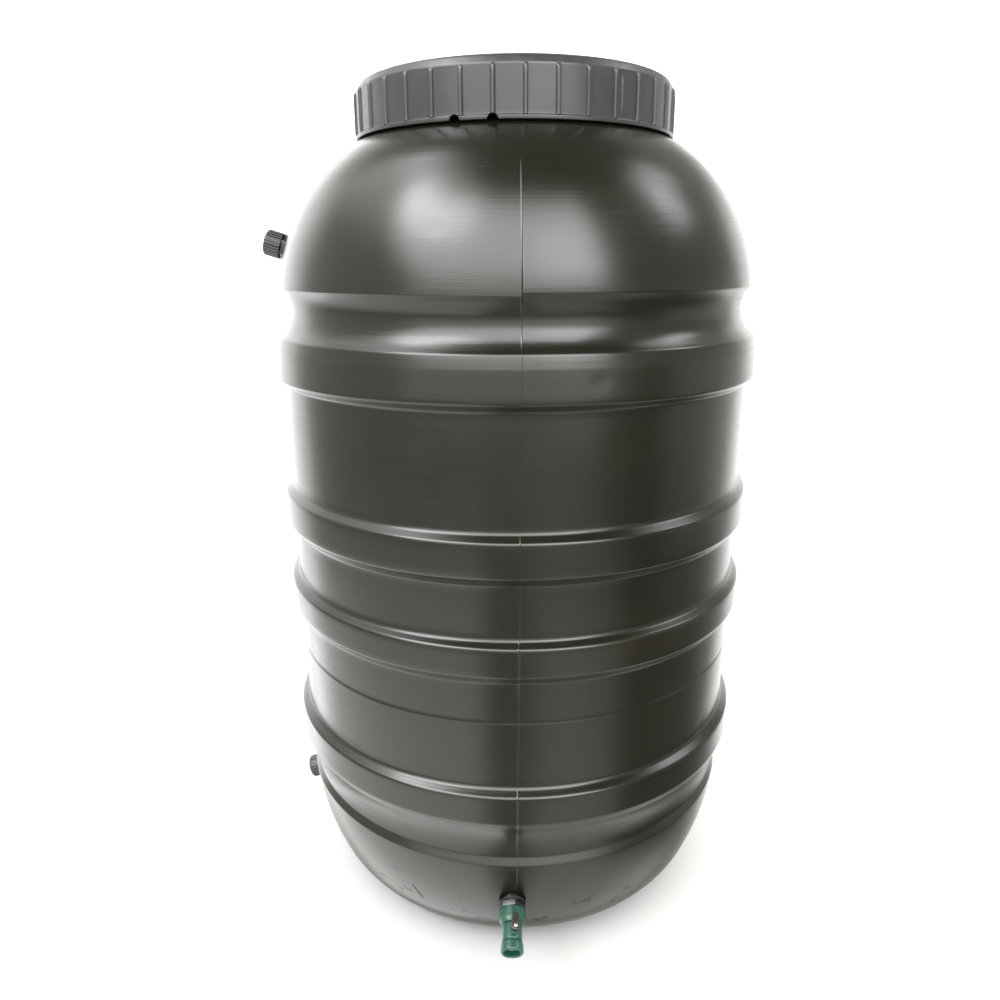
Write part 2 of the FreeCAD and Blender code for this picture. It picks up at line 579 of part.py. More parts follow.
# ---------------------------------------------------------------- ball valve
def make_valve():
    place = PORTS["spigot"]
    # swivel nut that holds the valve on the front fitting
    nut = new_body("valve_swivel_nut", place)
    turned(
        nut,
        "sleeve",
        [
            ("nut_bore", "nut_start"),
            ("nut_rad", "nut_start"),
            ("nut_rad", "nut_taper_start"),
            ("nut_taper_rad", "nut_end"),
            ("nut_hole", "nut_end"),
            ("nut_hole", "nut_lip_start"),
            ("nut_seat_rad", "nut_lip_start"),
            ("nut_seat_rad", "nut_seat_start"),
            ("nut_bore", "nut_seat_start"),
        ],
    )
    start = "(spigot_tooth_start - hose_pitch / 2 + hose_pitch)"
    thread(nut, "hose_turns", inner_tooth("nut_bore", "nut_crest", start), "hose_pitch", "nut_tooth_len")
    grip_ribs(nut, "nut_start", "nut_taper_start", "nut_rad", "nut_rib_rad", "nut_rib_wide", "nut_rib_count")
    washer("valve_hose_washer", place, "hose_washer_bore", "hose_washer_rad",
           "spigot_hose_end + rim_gap", "hose_washer_end")

    # the nut lets the valve be set with its lever a little to the right of the top
    place = place.multiply(Placement(Vector(), Rotation(Vector(0, 0, 1), -size("valve_turn"))))

    # inlet half of the housing, with the boss for the stem on its top side
    housing = new_body("valve_body", place)
    turned(
        housing,
        "tube",
        [
            ("0", "hose_washer_end"),
            ("tail_flange_rad", "hose_washer_end"),
            ("tail_flange_rad", "tail_flange_end"),
            ("tail_rad", "tail_flange_end"),
            ("tail_rad", "tail_end"),
            ("tube_rad", "tail_end"),
            ("tube_rad", "tube_end - seam_wide"),
            ("tube_rad - seam_depth", "tube_end"),
            ("0", "tube_end"),
        ],
    )
    upright = Rotation(Vector(1, 0, 0), -90)
    boss_mid = size("boss_top") / 2
    lift = Placement(Vector(0, boss_mid, size("ball_mid")), upright)
    boss = circle(new_sketch(housing, "boss_circle", "XY_Plane", lift), "0", "0", "boss_rad")
    extruded(housing, "boss", boss, "boss_top")
    turned(
        housing,
        "ball_space",
        [
            ("0", "hose_washer_end - 1"),
            ("way_rad", "hose_washer_end - 1"),
            ("way_rad", "ball_mid - seat_foot"),
            ("ball_space", "ball_mid - seat_foot"),
            ("ball_space", "tube_end + 1"),
            ("0", "tube_end + 1"),
        ],
        cut=True,
    )
    hole = circle(new_sketch(housing, "stem_circle", "XY_Plane", lift), "0", "0", "stem_hole")
    extruded(housing, "stem_way", hole, "boss_top + 2", cut=True)
    gland_mid = (size("gland_foot") + size("boss_top") + 1) / 2
    gland_lift = Placement(Vector(0, gland_mid, size("ball_mid")), upright)
    gland = circle(new_sketch(housing, "gland_circle", "XY_Plane", gland_lift), "0", "0", "gland_rad")
    extruded(housing, "gland", gland, "boss_top + 1 - gland_foot", cut=True)

    # outlet half, pressed into the housing
    outlet = new_body("valve_outlet", place)
    turned(
        outlet,
        "nozzle",
        [
            ("way_rad", "outlet_spigot_end"),
            ("seat_rad", "outlet_spigot_end"),
            ("seat_rad", "tube_end"),
            ("tube_rad - seam_depth", "tube_end"),
            ("tube_rad", "tube_end + seam_wide"),
            ("tube_rad", "flare_start"),
            ("flare_rad", "flare_start + flare_rise"),
            ("flare_rad", "outlet_end - outlet_edge", "outlet_edge", 1),
            ("flare_rad - outlet_edge", "outlet_end"),
            ("outlet_bore", "outlet_end"),
            ("outlet_bore", "outlet_taper_end"),
            ("way_rad", "outlet_taper_start"),
        ],
    )

    # seats each side of the ball
    for name, sign in (("valve_seat_inlet", "-"), ("valve_seat_outlet", "+")):
        seat = new_body(name, place)
        side = -1 if sign == "-" else 1
        face = "(seat_face_rad * seat_face_rad - seat_lip * seat_lip)"
        inner = "(seat_face_rad * seat_face_rad - way_rad * way_rad)"
        corners = [
            ("way_rad", "ball_mid %s seat_foot" % sign),
            ("seat_rad", "ball_mid %s seat_foot" % sign),
            ("seat_rad", "ball_mid %s seat_lip" % sign),
            ("sqrt%s" % face, "ball_mid %s seat_lip" % sign, "seat_face_rad", side),
            ("way_rad", "ball_mid %s sqrt%s" % (sign, inner)),
        ]
        turned(seat, "ring", corners)

    ball = new_body("valve_ball", place)
    half = "sqrt(ball_rad * ball_rad - ball_bore * ball_bore)"
    turned(
        ball,
        "sphere",
        [
            ("ball_bore", "ball_mid - %s" % half, "ball_rad", 1),
            ("ball_bore", "ball_mid + %s" % half),
        ],
    )
    slot_lift = Placement(Vector(0, size("ball_rad"), size("ball_mid")), upright)
    slot = new_sketch(ball, "slot_outline", "XY_Plane", slot_lift)
    outline(slot, [
        ("-slot_wide / 2", "-ball_rad"), ("slot_wide / 2", "-ball_rad"),
        ("slot_wide / 2", "ball_rad"), ("-slot_wide / 2", "ball_rad"),
    ])
    extruded(ball, "slot", slot, "2 * (ball_rad - slot_foot)", cut=True)

    # stem: round above, with a flat tang that turns the ball
    at_ball = place.multiply(Placement(Vector(0, 0, size("ball_mid")), upright))
    stem = new_body("valve_stem", at_ball)
    turned(
        stem,
        "rod",
        [
            ("0", "stem_foot"), ("stem_rad", "stem_foot"),
            ("stem_rad", "stem_top - 0.4"), ("stem_rad - 0.4", "stem_top"), ("0", "stem_top"),
        ],
    )
    for name, sign in (("flat_a", 1), ("flat_b", -1)):
        middle = (size("tang_top") + size("stem_foot") - 1) / 2
        lift = Placement(Vector(0, 0, middle), Rotation())
        flat = new_sketch(stem, name + "_outline", "XY_Plane", lift)
        text = "" if sign > 0 else "-"
        near = text + "(tang_wide / 2)"
        far = text + "(stem_rad + 1)"
        outline(flat, [(near, "-stem_rad - 1"), (far, "-stem_rad - 1"),
                       (far, "stem_rad + 1"), (near, "stem_rad + 1")])
        extruded(stem, name, flat, "tang_top - stem_foot + 1", cut=True)

    turned(
        new_body("valve_stem_oring", at_ball),
        "ring",
        [
            ("oring_mid - oring_sect", "oring_hgt", "oring_sect", -1),
            ("oring_mid", "oring_hgt + oring_sect", "oring_sect", -1),
            ("oring_mid + oring_sect", "oring_hgt", "oring_sect", -1),
            ("oring_mid", "oring_hgt - oring_sect", "oring_sect", -1),
        ],
    )

    # lever: a round hub with an arm that lies along the valve when the water runs
    lever = new_body("valve_lever", at_ball)
    turned(
        lever,
        "hub",
        [
            ("0", "lever_hub_foot"), ("lever_neck_rad", "lever_hub_foot"),
            ("lever_neck_rad", "lever_foot + 1"), ("0", "lever_foot + 1"),
        ],
    )
    lift = Placement(Vector(0, 0, (size("lever_foot") + size("lever_top")) / 2), Rotation())
    arm = new_sketch(lever, "arm_outline", "XY_Plane", lift)
    outline(arm, [
        ("lever_hub_rad", "0"),
        ("lever_tip_rad", "lever_reach", "lever_tip_rad * 1.02", 1),
        ("-lever_tip_rad", "lever_reach"),
        ("-lever_hub_rad", "0", "lever_hub_rad * 1.02", 1),
    ])
    extruded(lever, "arm", arm, "lever_top - lever_foot")
    turned(
        lever,
        "well",
        [
            ("0", "lever_hub_foot - 1"), ("stem_rad", "lever_hub_foot - 1"),
            ("stem_rad", "stem_top"), ("screw_rad", "stem_top"),
            ("screw_rad", "lever_well_hgt"), ("lever_well_rad", "lever_well_hgt"),
            ("lever_well_rad", "lever_top + 1"), ("0", "lever_top + 1"),
        ],
        cut=True,
    )
    doc.recompute()

    screw = new_body("valve_lever_screw", at_ball)
    turned(
        screw,
        "pin",
        [
            ("0", "screw_foot"), ("screw_rad", "screw_foot"), ("screw_rad", "lever_well_hgt"),
            ("screw_head_rad", "lever_well_hgt"),
            ("screw_head_rad", "lever_well_hgt + screw_head_thick - 0.7", "2.2", 1),
            ("0", "lever_well_hgt + screw_head_thick"),
        ],
    )
    top = size("lever_well_hgt") + size("screw_head_thick")
    lift = Placement(Vector(0, 0, top), Rotation())
    slot = new_sketch(screw, "slot_outline", "XY_Plane", lift)
    outline(slot, [
        ("-screw_head_rad - 1", "-screw_slot_wide / 2"), ("screw_head_rad + 1", "-screw_slot_wide / 2"),
        ("screw_head_rad + 1", "screw_slot_wide / 2"), ("-screw_head_rad - 1", "screw_slot_wide / 2"),
    ])
    extruded(screw, "slot", slot, "2 * screw_slot_depth", cut=True)

    # the screw's hole in the top of the stem
    turned(
        stem,
        "screw_hole",
        [("0", "screw_foot - 0.4"), ("screw_rad", "screw_foot - 0.4"),
         ("screw_rad", "stem_top + 1"), ("0", "stem_top + 1")],
        cut=True,
    )


make_shell()
make_lid()
make_fitting("spigot", "spigot_hex_flat", "spigot_hex_angle", "spigot_collar_end",
             "spigot_hose_end", "spigot_tooth_start", "spigot_tooth_len")
for port in ("upper_port", "lower_port"):
    make_fitting(port, "port_hex_flat", "0", "port_collar_end",
                 "port_hose_end", "port_tooth_start", "port_tooth_len")
    make_cap(port)
make_valve()
doc.recompute()

# ---------------------------------------------------------------- checks and export
for obj in doc.Objects:
    if "Invalid" in obj.State or "Error" in obj.State:
        raise RuntimeError("%s failed: %s" % (obj.Name, obj.State))

bodies = [obj for obj in doc.Objects if obj.TypeId == "PartDesign::Body"]
for body in bodies:
    shape = body.Shape
    if shape.isNull() or not shape.isValid() or len(shape.Solids) != 1:
        raise RuntimeError("%s is not one valid solid" % body.Label)

os.makedirs("parts", exist_ok=True)
for body in bodies:
    body.Shape.exportStep("parts/%s.step" % body.Label)
    print("%-28s %12.2f mm3  %3d faces" % (body.Label, body.Shape.Volume, len(body.Shape.Faces)))
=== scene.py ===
import json
import math

import bpy
import numpy as np
from mathutils import Matrix, Vector


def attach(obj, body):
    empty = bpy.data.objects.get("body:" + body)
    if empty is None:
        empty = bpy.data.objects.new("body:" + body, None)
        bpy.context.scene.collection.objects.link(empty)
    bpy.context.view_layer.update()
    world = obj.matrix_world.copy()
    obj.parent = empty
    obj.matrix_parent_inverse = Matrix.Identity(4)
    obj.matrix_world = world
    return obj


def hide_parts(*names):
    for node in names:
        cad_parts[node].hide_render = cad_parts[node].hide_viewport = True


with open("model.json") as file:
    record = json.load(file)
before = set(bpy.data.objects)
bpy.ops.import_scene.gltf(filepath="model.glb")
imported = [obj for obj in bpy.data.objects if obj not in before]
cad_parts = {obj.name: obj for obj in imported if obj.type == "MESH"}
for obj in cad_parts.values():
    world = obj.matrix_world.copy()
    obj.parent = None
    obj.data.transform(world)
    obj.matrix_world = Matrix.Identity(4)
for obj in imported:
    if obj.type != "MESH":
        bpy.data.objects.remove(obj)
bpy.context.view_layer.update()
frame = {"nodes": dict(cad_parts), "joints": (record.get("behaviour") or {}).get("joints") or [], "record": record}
MM = 0.001
SHARP_EDGE = math.radians(35)
nodes = frame["nodes"]


# ------------------------------------------------------------------ outlines and meshes
def arc(p, q, radius, side, count):
    """Points after p on the arc to q, without q; side 1 has the centre on the left."""
    p, q = np.array(p, float), np.array(q, float)
    chord = q - p
    length = np.hypot(*chord)
    normal = np.array([-chord[1], chord[0]]) / length
    centre = (p + q) / 2 + normal * math.sqrt(radius ** 2 - length ** 2 / 4) * side
    a0 = math.atan2(*(p - centre)[::-1])
    a1 = math.atan2(*(q - centre)[::-1])
    turn = (a1 - a0) * side % (2 * math.pi) * side
    steps = np.linspace(a0, a0 + turn, count + 2)[1:-1]
    return [(centre[0] + radius * math.cos(a), centre[1] + radius * math.sin(a), 0) for a in steps]


def rounded(corners, steps=5):
    """A polyline through corners of (x, y, fillet), its corners rounded."""
    pts = [np.array(c[:2], float) for c in corners]
    out = [pts[0]]
    for i in range(1, len(pts) - 1):
        a, b, c = pts[i - 1], pts[i], pts[i + 1]
        fillet = corners[i][2]
        la, lc = np.hypot(*(a - b)), np.hypot(*(c - b))
        if fillet <= 0 or la < 1e-6 or lc < 1e-6:
            out.append(b)
            continue
        da, dc = (a - b) / la, (c - b) / lc
        angle = math.acos(max(-1, min(1, float(np.dot(da, dc)))))
        cut = min(fillet / math.tan(angle / 2), la * 0.48, lc * 0.48)
        for t in np.linspace(0, 1, steps):
            out.append((1 - t) ** 2 * (b + da * cut) + 2 * t * (1 - t) * b + t * t * (b + dc * cut))
    out.append(pts[-1])
    return np.array(out)


def spaced(line, gap):
    """The polyline with long stretches divided."""
    out = [line[0]]
    for a, b in zip(line[:-1], line[1:]):
        n = max(1, math.ceil(np.hypot(*(b - a)) / gap))
        for k in range(1, n + 1):
            out.append(a + (b - a) * k / n)
    return np.array(out)


def ramp(value, start, run):
    """0 up to start and 1 beyond start + run; a negative run falls the other way."""
    return np.clip((value - start) / run, 0, 1)


def grid_faces(rows, cols, closed=False):
    """Quads round every row of a grid; a closed grid has its last row joined to its first."""
    faces = []
    for i in range(rows if closed else rows - 1):
        low, high = i * cols, (i + 1) % rows * cols
        for j in range(cols):
            k = (j + 1) % cols
            faces.append((low + j, low + k, high + k, high + j))
    return faces


def new_piece(name, verts, faces, place=None):
    """A mesh object, smooth but for its sharp edges. place is a 4 by 4 matrix in metres."""
    mesh = bpy.data.meshes.new(name)
    mesh.from_pydata([tuple(v) for v in np.array(verts, float) * MM], [], faces)
    mesh.validate()
    if place is not None:
        mesh.transform(place)
    mesh.polygons.foreach_set("use_smooth", [True] * len(mesh.polygons))
    mesh.set_sharp_from_angle(angle=SHARP_EDGE)
    mesh.update()
    piece = bpy.data.objects.new(name, mesh)
    bpy.context.scene.collection.objects.link(piece)
    return piece


def turned(line, angles, change=None, closed=True):
    """Verts and faces of an outline (radius, height) turned round Z. change takes the grids of
    radii, heights and angles and gives them back altered."""
    r = np.repeat(line[:, 0][:, None], len(angles), 1)
    z = np.repeat(line[:, 1][:, None], len(angles), 1)
    a = np.repeat(angles[None, :], len(line), 0)
    if change is not None:
        r, z, a = change(r, z, a)
    grid = np.stack([r * np.cos(a), r * np.sin(a), z], -1)
    return grid.reshape(-1, 3), grid_faces(len(line), len(angles), closed)


def helix_ridge(section, lead, height, start, steps, taper):
    """A ridge of a closed section (radius, height) that climbs a helix and thins out at both
    ends, the more slowly the smaller its taper. Returns verts, faces."""
    section = np.array(section, float)
    base, middle = section[0, 0], section.mean(0)[1]
    count = len(section)
    verts = []
    for i in range(steps + 1):
        f = i / steps
        a = start + 2 * math.pi * (height / lead) * f
        ease = min(1.0, min(f, 1 - f) * steps * taper)
        for r, z in section:
            rr = base + (r - base) * ease
            zz = middle + (z - middle) * (0.3 + 0.7 * ease) + height * f
            verts.append((rr * math.cos(a), rr * math.sin(a), zz))
    faces = grid_faces(steps + 1, count)
    faces.append(tuple(range(count)))
    faces.append(tuple(range(steps * count, (steps + 1) * count))[::-1])
    return verts, faces


def joined(parts):
    """Several pairs of verts and faces as one pair."""
    verts, faces = [], []
    for v, f in parts:
        start = len(verts)
        verts += [tuple(p) for p in v]
        faces += [tuple(start + i for i in face) for face in f]
    return verts, faces


# ------------------------------------------------------------------ materials
def new_material(name):
    """A material, its node tree and its Principled shader."""
    mat = bpy.data.materials.new(name)
    mat.use_nodes = True
    tree = mat.node_tree
    return mat, tree, tree.nodes["Principled BSDF"]


def link(tree, a, b):
    tree.links.new(a, b)


def coords(tree, scale):
    """Object coordinates stretched by a scale along X, Y and Z."""
    where = tree.nodes.new("ShaderNodeTexCoord")
    mapping = tree.nodes.new("ShaderNodeMapping")
    mapping.inputs["Scale"].default_value = scale
    link(tree, where.outputs["Object"], mapping.inputs["Vector"])
    return mapping.outputs["Vector"]


def noise(tree, scale, size=1.0, detail=2.0, rough=0.5):
    node = tree.nodes.new("ShaderNodeTexNoise")
    node.inputs["Scale"].default_value = size
    node.inputs["Detail"].default_value = detail
    node.inputs["Roughness"].default_value = rough
    link(tree, coords(tree, scale), node.inputs["Vector"])
    return node.outputs["Fac"]


def spread(tree, value, low, high, to_low=0.0, to_high=1.0):
    """A value taken from the range low to high to the range to_low to to_high, and kept in it."""
    node = tree.nodes.new("ShaderNodeMapRange")
    node.inputs["From Min"].default_value = low
    node.inputs["From Max"].default_value = high
    node.inputs["To Min"].default_value = to_low
    node.inputs["To Max"].default_value = to_high
    link(tree, value, node.inputs["Value"])
    return node.outputs["Result"]


def sums(tree, kind, a, b=0.0):
    """One step of arithmetic with a and b, each a socket or a number."""
    node = tree.nodes.new("ShaderNodeMath")
    node.operation = kind
    for socket, value in ((node.inputs[0], a), (node.inputs[1], b)):
        if isinstance(value, (int, float)):
            socket.default_value = value
        else:
            link(tree, value, socket)
    return node.outputs[0]


def mixed(tree, fac, a, b):
    """Colour a blended into colour b, each a socket or (red, green, blue)."""
    node = tree.nodes.new("ShaderNodeMix")
    node.data_type = "RGBA"
    link(tree, fac, node.inputs["Factor"])
    for socket, value in ((node.inputs["A"], a), (node.inputs["B"], b)):
        if isinstance(value, tuple):
            socket.default_value = value + (1,)
        else:
            link(tree, value, socket)
    return node.outputs["Result"]


def bump(tree, shader, height, distance, strength=1.0, below=None):
    """A bump on top of the one below it; the shader takes the last one made."""
    node = tree.nodes.new("ShaderNodeBump")
    node.inputs["Distance"].default_value = distance
    node.inputs["Strength"].default_value = strength
    link(tree, height, node.inputs["Height"])
    if below is not None:
        link(tree, below, node.inputs["Normal"])
    link(tree, node.outputs["Normal"], shader.inputs["Normal"])
    return node.outputs["Normal"]


def moulded(name, dark, light, rough, grain=1200, depth=0.00004, patch=14):
    """Injection-moulded plastic: slight colour drift, patchy gloss and a fine grain."""
    mat, tree, shader = new_material(name)
    drift = noise(tree, (patch, patch, patch), detail=4)
    link(tree, mixed(tree, spread(tree, drift, 0.3, 0.7), dark, light), shader.inputs["Base Color"])
    gloss = noise(tree, (patch * 4, patch * 4, patch * 4), detail=3)
    gloss = spread(tree, gloss, 0.25, 0.75, rough - 0.06, rough + 0.08)
    link(tree, gloss, shader.inputs["Roughness"])
    bump(tree, shader, noise(tree, (grain, grain, grain), detail=2), depth)
    return mat


def slanting(tree, x, z, along_x, along_z):
    """The size of x and z weighed together: a distance across or along a slanting line."""
    total = sums(tree, "ADD", sums(tree, "MULTIPLY", x, along_x),
                 sums(tree, "MULTIPLY", z, along_z))
    return sums(tree, "ABSOLUTE", total)


def scratch_mask(tree, split):
    """1 on one long scratch low on the front, 0 elsewhere."""
    aside = sums(tree, "ADD", split.outputs["X"], 0.1147)
    above = sums(tree, "ADD", split.outputs["Z"], -0.0789)
    across = slanting(tree, aside, above, 0.87, 0.5)
    along = slanting(tree, aside, above, 0.5, -0.87)
    mask = sums(tree, "MULTIPLY", spread(tree, across, 0.0007, 0.0016, 1, 0),
                spread(tree, along, 0.011, 0.014, 1, 0))
    return sums(tree, "MULTIPLY", mask, spread(tree, split.outputs["Y"], -0.1, -0.15, 0, 1))


def barrel_material():
    """Satin black polyethylene, with fine turned lines, soft waviness, small scuffs low down
    and one long scratch."""
    mat, tree, shader = new_material("barrel_plastic")
    drift = noise(tree, (5, 5, 3), detail=3)
    tint = noise(tree, (3, 3, 6), size=1.3, detail=2)
    base = mixed(tree, spread(tree, drift, 0.3, 0.7),
                 (0.0056, 0.0052, 0.0026), (0.0078, 0.0071, 0.0032))
    base = mixed(tree, spread(tree, tint, 0.5, 0.72, 0, 0.8), base, (0.0108, 0.0092, 0.0038))
    where = tree.nodes.new("ShaderNodeTexCoord")
    split = tree.nodes.new("ShaderNodeSeparateXYZ")
    link(tree, where.outputs["Object"], split.inputs["Vector"])
    low = spread(tree, split.outputs["Z"], 0.07, 0.12, 1, 0)
    scuffs = spread(tree, noise(tree, (26, 26, 60), detail=5, rough=0.65), 0.59, 0.66)
    scuffs = sums(tree, "MULTIPLY", scuffs, low)
    scratch = scratch_mask(tree, split)
    duller = sums(tree, "MAXIMUM", sums(tree, "MULTIPLY", scuffs, 0.16),
                  sums(tree, "MULTIPLY", scratch, 0.36))
    link(tree, sums(tree, "SUBTRACT", 0.5, duller), shader.inputs["Specular IOR Level"])
    worn = sums(tree, "MAXIMUM", scuffs, scratch)
    link(tree, mixed(tree, worn, base, (0.003, 0.0029, 0.0025)), shader.inputs["Base Color"])
    gloss = noise(tree, (9, 9, 5), detail=5, rough=0.6)
    lines = noise(tree, (4, 4, 700), detail=3, rough=0.6)
    rough = spread(tree, gloss, 0.3, 0.7, 0.2, 0.27)
    rough = sums(tree, "ADD", rough, spread(tree, lines, 0.3, 0.7, -0.03, 0.03))
    rough = sums(tree, "ADD", rough, sums(tree, "MULTIPLY", worn, 0.22))
    link(tree, rough, shader.inputs["Roughness"])
    wave = bump(tree, shader, noise(tree, (16, 16, 10), detail=1), 0.0009, 0.6)
    fine = bump(tree, shader, lines, 0.00014, 0.5, wave)
    bump(tree, shader, noise(tree, (1500, 1500, 1500), detail=2), 0.00003, 0.8, fine)
    return mat


# each moulded material: its name, darker and lighter colour and roughness, and for most of
# them the grain's scale, the grain's depth and the patches' scale
MOULDED = [
    ("lid_plastic", (0.027, 0.0275, 0.0275), (0.037, 0.0375, 0.0375), 0.33, 900, 0.00005, 20),
    ("fitting_plastic", (0.007, 0.007, 0.007), (0.012, 0.012, 0.012), 0.28),
    ("cap_plastic", (0.009, 0.009, 0.01), (0.015, 0.015, 0.0165), 0.3),
    ("valve_plastic", (0.014, 0.075, 0.048), (0.021, 0.098, 0.063), 0.33, 1200, 0.00004, 60),
    ("lever_plastic", (0.02, 0.0165, 0.0145), (0.032, 0.0265, 0.0235), 0.32, 1200, 0.00004, 60),
    ("ball_plastic", (0.5, 0.5, 0.48), (0.6, 0.6, 0.58), 0.22, 1200, 0.00004, 80),
    ("seat_plastic", (0.55, 0.55, 0.53), (0.62, 0.62, 0.6), 0.45, 1200, 0.00004, 80),
    ("rubber", (0.012, 0.012, 0.012), (0.02, 0.02, 0.02), 0.6, 1200, 0.00004, 60),
    ("screw_steel", (0.55, 0.55, 0.55), (0.65, 0.65, 0.64), 0.25, 1200, 0.00004, 300),
]
MATERIALS = {"barrel_plastic": barrel_material()}
MATERIALS.update((row[0], moulded(*row)) for row in MOULDED)
steel = MATERIALS["screw_steel"].node_tree.nodes["Principled BSDF"]
steel.inputs["Metallic"].default_value = 1.0

for entry in frame["record"]["subparts"]:
    holder = nodes[entry["node"]]
    if not holder.material_slots:
        holder.data.materials.append(MATERIALS[entry["material_slot"]])
    for slot in holder.material_slots:
        slot.material = MATERIALS[entry["material_slot"]]


def finish(piece, slot, body, *replaced):
    """A piece's material slot, the body it moves with and the nodes it stands in for."""
    piece.data.materials.append(MATERIALS[slot])
    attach(piece, body)
    if replaced:
        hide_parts(*replaced)


# ------------------------------------------------------------------ barrel
# named points of the outside's outline, and the radii of its bands and of the wall between
FOOT, HEEL, WAIST = (191.2, 0.0), (229.8, 14.5), (260.9, 58.4)
BAND_END, CREASE = (290.7, 727.0), (284.5, 781.8)
SHOULDER, NECK_FOOT = (252.1, 875.2), (178.5, 944.0)
BAND, WALL = 294.6, 284.7
BAND_INSIDE, WALL_INSIDE, NECK = 290.3, 280.2, 172.0
SHOULDER_INSIDE = (251.0, 874.5)


def curve(start, end, radius, side, count, fillet=0):
    """An arc's points, and its end as a corner."""
    return arc(start, end, radius, side, count) + [end + (fillet,)]


outer = [(0, 0.0, 0), FOOT + (3,)]
outer += curve(FOOT, HEEL, 62, 1, 6)
outer += curve(HEEL, WAIST, 110, 1, 8)
outer += curve(WAIST, (283.2, 151.2), 330, 1, 14, 2.5)
outer += [(278.8, 160.5, 5)]
outer += arc((278.6, 161), (291.8, 208), 92, -1, 10)
outer += [(291.9, 208.6, 6), (BAND, 216.0, 8), (BAND, 249.3, 4.8), (WALL, 255.9, 7)]
outer += [(WALL, 334.8, 0), (284.92, 335.0, 0), (WALL, 335.5, 0)]
outer += [(WALL, 383.5, 6), (BAND, 395.3, 6), (BAND, 427.6, 4.4), (WALL, 432.5, 6.5)]
outer += [(WALL, 493.4, 6), (BAND, 505.0, 6), (BAND, 542.5, 4.6), (WALL, 549.3, 7)]
outer += [(WALL, 671.6, 5), (BAND, 679.6, 4), (BAND, 685.0, 0), (293.4, 713.0, 20)]
outer += [BAND_END + (8,)] + curve(BAND_END, CREASE, 37, -1, 14, 2.2)
outer += curve(CREASE, SHOULDER, 230.7, 1, 16)
outer += curve(SHOULDER, NECK_FOOT, 189.3, 1, 14)
outer += [(174.5, 947.5, 3), (NECK, 951.0, 4), (NECK, 992.0, 1.6), (166.0, 992.0, 1.6)]
inner = [(166.0, 949.0, 8), (NECK, 942.0, 6)]
inner += [(r - 4.2, z - 1.6, 0) for r, z, _ in arc(NECK_FOOT, SHOULDER_INSIDE, 150, -1, 10)]
inner += [(246.6, 872.0, 0)]
inner += [(r - 4.5, z, 0) for r, z, _ in arc(SHOULDER_INSIDE, CREASE, 190, -1, 10)]
inner += [(280.0, CREASE[1], 4), (271.6, 752.0, 20), (287.0, 722.0, 8)]
inner += [(BAND_INSIDE, 716.0, 6), (BAND_INSIDE, 681.0, 4), (WALL_INSIDE, 672.5, 4)]
inner += [(WALL_INSIDE, 548.0, 4), (BAND_INSIDE, 541.0, 4)]
inner += [(BAND_INSIDE, 506.5, 4), (WALL_INSIDE, 494.8, 4)]
inner += [(WALL_INSIDE, 431.0, 4), (BAND_INSIDE, 426.5, 4)]
inner += [(BAND_INSIDE, 396.8, 4), (WALL_INSIDE, 385.0, 4)]
inner += [(WALL_INSIDE, 254.5, 4), (BAND_INSIDE, 248.0, 4), (BAND_INSIDE, 216.5, 6)]
inner += [(287.3, 208.0, 6), (274.6, 164.0, 8), (278.8, 151.0, 4)]
inner += [(256.6, 60.0, 60), (226.5, 18.0, 30), (FOOT[0], 4.5, 20), (0, 4.5, 0)]

ROW_GAP = 6.5
line = spaced(rounded(outer + inner), ROW_GAP)
outside_rows = len(spaced(rounded(outer), ROW_GAP))

# the two mould seams: their azimuths, usual radius and lean, the raised line's half width and
# rise, the spots where it stands up more, and the step between the mould's halves
SEAMS = (math.radians(-90 + 1.9), math.radians(90 + 1.9))
SEAM_RADIUS, SEAM_LEAN = 288.0, math.radians(1.1)
SEAM_HALF_WIDTH, SEAM_RISE = 0.95, 0.15
SEAM_SPOTS, SPOT_RISE = (251.0, 429.0, 544.5), 0.45
STEP_REACH, STEP_DEPTH, CREASE_SHIFT = 60, 0.18, 3.4
COLUMNS, SEAM_GAP = 360, 0.025

seam_steps = np.array([0.0, 0.35, 0.8, 1.5, 3.0, 6.0]) / SEAM_RADIUS
angles = list(np.linspace(-math.pi, math.pi, COLUMNS + 1)[:-1])
for seam in SEAMS:
    angles = [a for a in angles if abs(a - seam) > SEAM_GAP]
    angles += [seam + s for s in seam_steps] + [seam - s for s in seam_steps[1:]]
angles = np.array(sorted(angles))


def wavy(a, z, seed):
    """A slow, seamless waviness round a turned piece, between about -1 and 1."""
    rng = np.random.default_rng(seed)
    total = np.zeros_like(a)
    turn = 6.28    # about a full turn
    for k in (2, 3, 5, 7, 11):
        phase, tall, shift = rng.uniform(0, turn), rng.uniform(90, 240), rng.uniform(0, turn)
        total = total + np.sin(k * a + phase) * np.sin(z / tall + shift) / 3
    return total


# small dents in the outside: azimuth, height, half width, half height and depth
DENTS = [
    (-73.5, 700.0, 9, 6, 0.7), (-75.5, 515.0, 9, 5, 0.5), (-79.0, 226.0, 10, 5, 0.5),
    (-112.0, 640.0, 16, 9, 0.4), (-60.0, 610.0, 18, 10, 0.4), (-105.0, 840.0, 9, 5, 0.5),
    (-36.0, 262.0, 8, 8, 0.7), (35.0, 330.0, 14, 9, 0.6), (120.0, 620.0, 16, 8, 0.5),
    (75.0, 455.0, 12, 8, 0.4), (-150.0, 350.0, 14, 9, 0.5), (165.0, 700.0, 12, 7, 0.4),
]
DENT_RADIUS = 290.0
WAVINESS = 0.22


